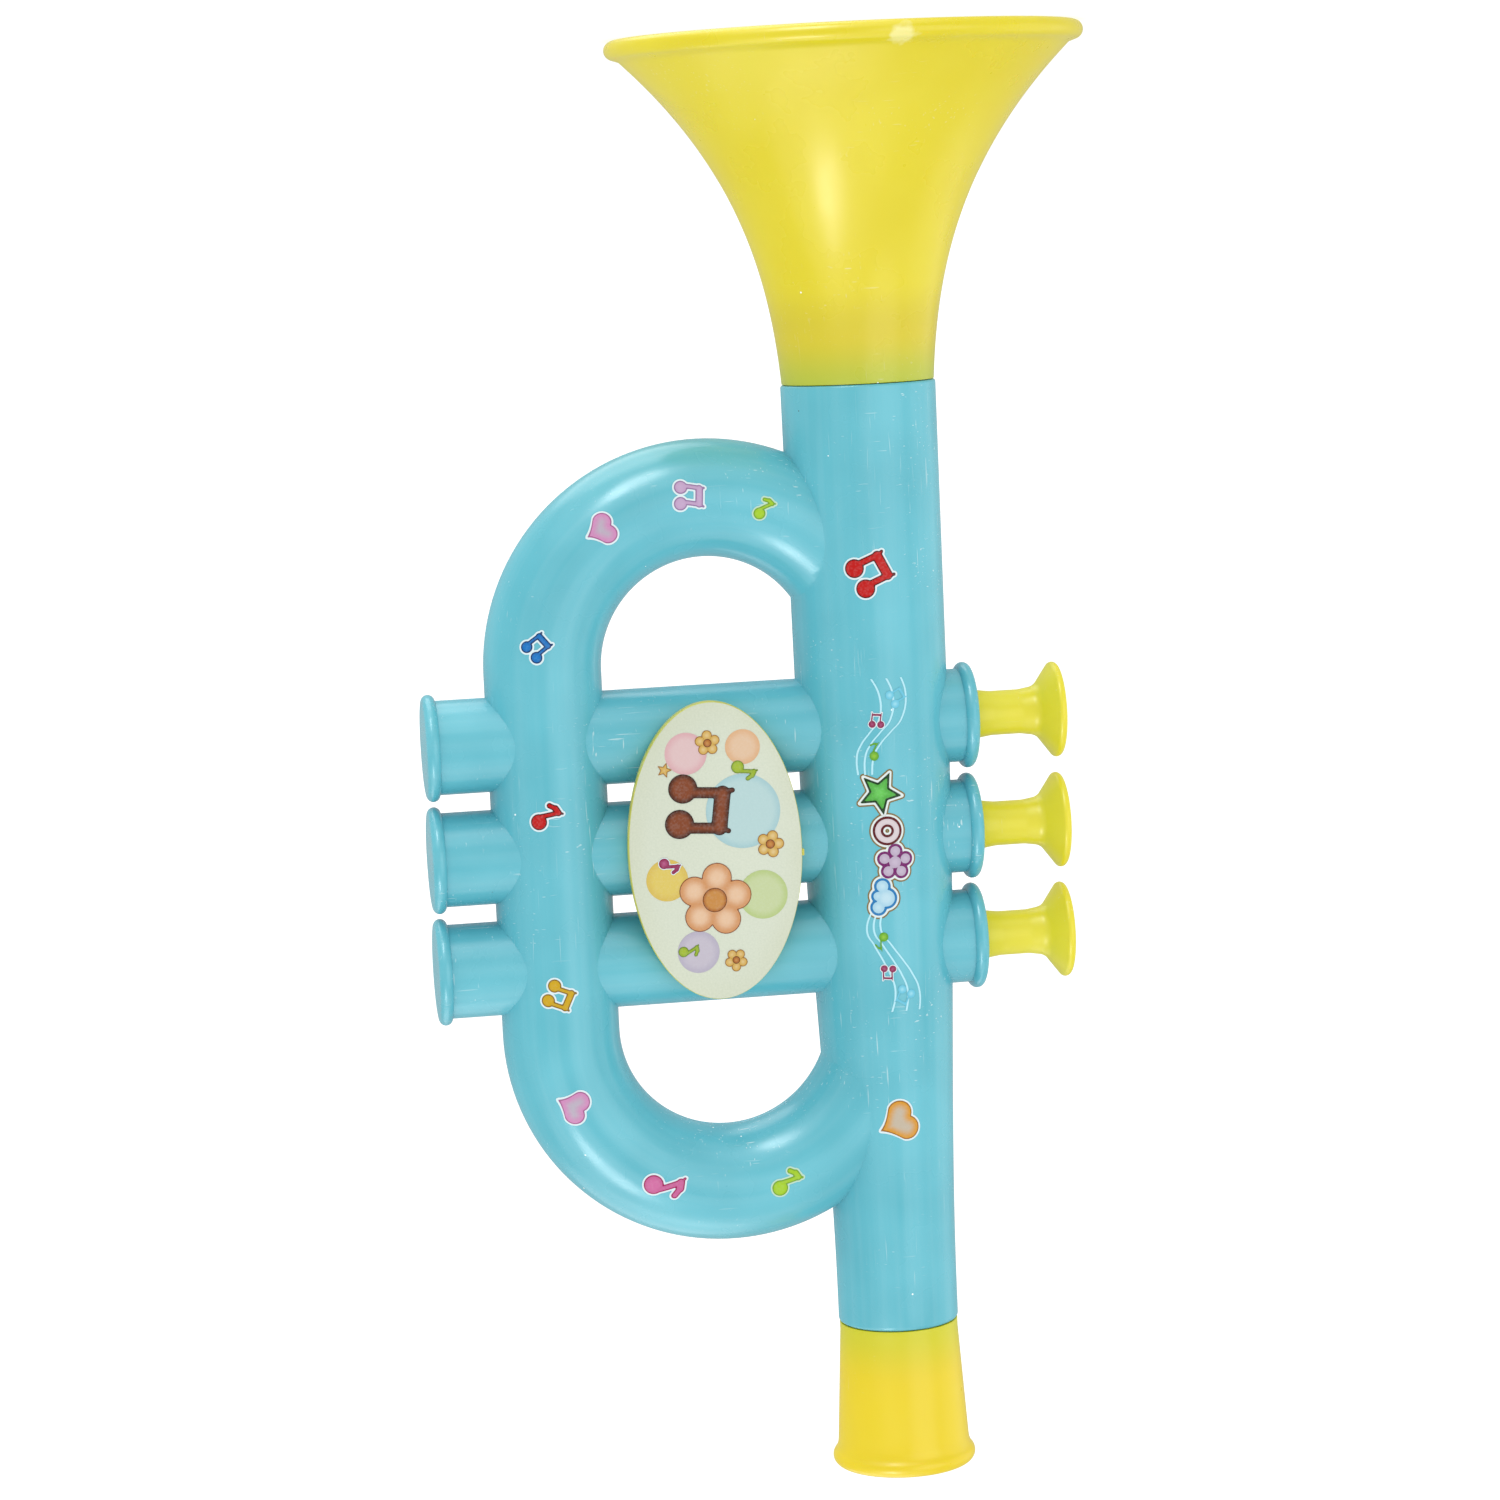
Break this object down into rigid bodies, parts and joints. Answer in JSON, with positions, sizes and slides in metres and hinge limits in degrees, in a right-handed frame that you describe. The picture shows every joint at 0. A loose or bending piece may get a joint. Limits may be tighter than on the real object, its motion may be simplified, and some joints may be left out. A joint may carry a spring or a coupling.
{
  "type": "toy trumpet",
  "caption": "Child's plastic toy trumpet: a flared bell and cup mouthpiece on a tube with a racetrack loop, sprung valve buttons, an oval plaque and a squeaker reed inside.",
  "frame": {"origin": "on the surface that the bell's rim stands on, under the middle of the outline", "axes": "+Z along the main tube from the bell to the mouthpiece, -Y out of the front with the plaque, +X towards the loop, -X the way the buttons point"},
  "size_m": [0.1185, 0.0814, 0.25],
  "materials": {
    "body_blue": "glossy light blue moulded plastic with fine scuffs and printed hearts and notes",
    "bell_yellow": "slightly translucent satin yellow plastic",
    "mouthpiece_yellow": "slightly translucent bright yellow plastic",
    "button_yellow": "slightly translucent satin yellow plastic",
    "plaque_yellow": "satin yellow plastic",
    "label_paper": "cream coated paper label with a pastel print",
    "spring_steel": "bright spring wire",
    "reed_ivory": "ivory moulded plastic",
    "reed_steel": "thin springy strip"
  },
  "bodies": {
    "trumpet": {"front_shell": "body_blue", "back_shell": "body_blue", "bell": "bell_yellow", "mouthpiece": "mouthpiece_yellow", "plaque": "plaque_yellow", "label": "label_paper", "reed_holder": "reed_ivory", "reed_tongue": "reed_steel", "reed_wedge": "reed_ivory", "valve_spring_1": "spring_steel", "valve_spring_2": "spring_steel", "valve_spring_3": "spring_steel"},
    "button_1": {"valve_button_1": "button_yellow"},
    "button_2": {"valve_button_2": "button_yellow"},
    "button_3": {"valve_button_3": "button_yellow"}
  },
  "joints": [
    {"name": "button_1_press", "type": "slide", "parent": "trumpet", "child": "button_1", "axis": [1, 0, 0], "range_m": [0, 0.006], "stiffness_N_per_m": 200, "springref_m": -0.004, "deforming": ["valve_spring_1"]},
    {"name": "button_2_press", "type": "slide", "parent": "trumpet", "child": "button_2", "axis": [1, 0, 0], "range_m": [0, 0.006], "stiffness_N_per_m": 200, "springref_m": -0.004, "deforming": ["valve_spring_2"]},
    {"name": "button_3_press", "type": "slide", "parent": "trumpet", "child": "button_3", "axis": [1, 0, 0], "range_m": [0, 0.006], "stiffness_N_per_m": 200, "springref_m": -0.004, "deforming": ["valve_spring_3"]}
  ]
}
